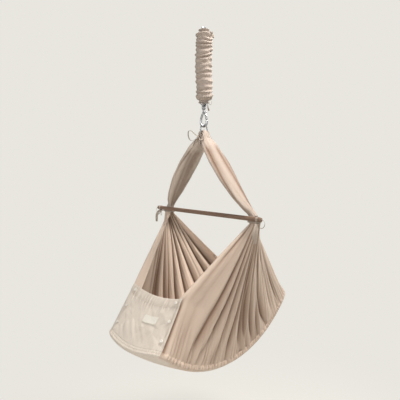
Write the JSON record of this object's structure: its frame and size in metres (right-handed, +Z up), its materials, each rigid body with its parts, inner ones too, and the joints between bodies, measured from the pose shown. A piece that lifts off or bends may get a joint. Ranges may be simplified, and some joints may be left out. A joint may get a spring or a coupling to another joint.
{
  "type": "hanging baby cradle",
  "caption": "Hanging cloth baby cradle: an arched cloth tray with a mattress, gathered sides, spreader bar, ring, snap hook and covered extension spring.",
  "frame": {"origin": "the hanging point, on the inside top of the upper eye, where the ceiling hook's wire touches it", "axes": "+Z up along the hanging line; X along the cradle, with the foot end and its flap at -X; Y along the spreader bar"},
  "size_m": [0.7268, 0.5062, 1.1623],
  "materials": {
    "cradle_cloth": "plain cotton weave, washed, dusty beige",
    "flap_cloth": "plain cotton weave, a shade lighter",
    "ribbon": "woven cotton tape",
    "label": "blank woven patch",
    "mattress_ticking": "undyed cotton ticking",
    "elastic": "woven elastic",
    "chrome": "polished",
    "spring_steel": "zinc plated wire",
    "stained_wood": "dark stain, satin",
    "snap": "satin"
  },
  "bodies": {
    "hanger": {"upper_eye": "chrome"},
    "spring_head": {"extension_spring": "spring_steel", "spring_cover": "cradle_cloth", "cover_top_tie": "ribbon"},
    "spring_foot": {"lower_eye": "chrome", "cover_bottom_tie": "ribbon"},
    "hook": {"snap_hook_body": "chrome", "gate_rivet": "chrome"},
    "gate": {"snap_hook_gate": "chrome", "gate_spring": "spring_steel"},
    "ring": {"hanging_ring": "chrome"},
    "cradle": {"strap_near": "cradle_cloth", "strap_far": "cradle_cloth", "apex_tie": "ribbon", "spreader_bar": "stained_wood", "bar_tie_near": "ribbon", "bar_tie_far": "ribbon", "base_panel": "cradle_cloth", "mattress": "mattress_ticking", "side_panel_near": "cradle_cloth", "side_panel_far": "cradle_cloth", "head_panel": "cradle_cloth", "snap_stud_1": "snap", "snap_stud_2": "snap", "snap_stud_3": "snap", "snap_stud_4": "snap", "snap_stud_5": "snap", "snap_stud_6": "snap"},
    "flap": {"foot_flap": "flap_cloth", "flap_elastic": "elastic", "label_patch": "label", "snap_cap_1": "snap", "snap_cap_2": "snap", "snap_cap_3": "snap", "snap_cap_4": "snap", "snap_cap_5": "snap", "snap_cap_6": "snap"}
  },
  "joints": [
    {"name": "cradle_turn", "type": "hinge", "parent": "hanger", "child": "spring_head", "pos_m": [0, 0, -0.035], "axis": [0, 0, 1], "continuous": true},
    {"name": "spring_stretch", "type": "slide", "parent": "spring_head", "child": "spring_foot", "axis": [0, 0, -1], "range_m": [0, 0.2], "stiffness_N_per_m": 500, "springref_m": -0.09, "deforming": ["extension_spring", "spring_cover"]},
    {"name": "hook_swing", "type": "hinge", "parent": "spring_foot", "child": "hook", "pos_m": [0, 0, -0.2665], "axis": [1, 0, 0], "range_deg": [-25, 25]},
    {"name": "gate_open", "type": "hinge", "parent": "hook", "child": "gate", "pos_m": [0, -0.006, -0.2852], "axis": [1, 0, 0], "range_deg": [0, 25], "stiffness_Nm_per_rad": 0.06, "springref_deg": -20.05},
    {"name": "ring_swing", "type": "hinge", "parent": "hook", "child": "ring", "pos_m": [0, 0, -0.3342], "axis": [0, 1, 0], "range_deg": [-25, 25]},
    {"name": "sling_rock", "type": "hinge", "parent": "ring", "child": "cradle", "pos_m": [0, 0, -0.3604], "axis": [1, 0, 0], "range_deg": [-25, 25]},
    {"name": "flap_open", "type": "hinge", "parent": "cradle", "child": "flap", "pos_m": [-0.3386, 0, -1.0136], "axis": [0, -1, 0], "range_deg": [0, 110]}
  ]
}
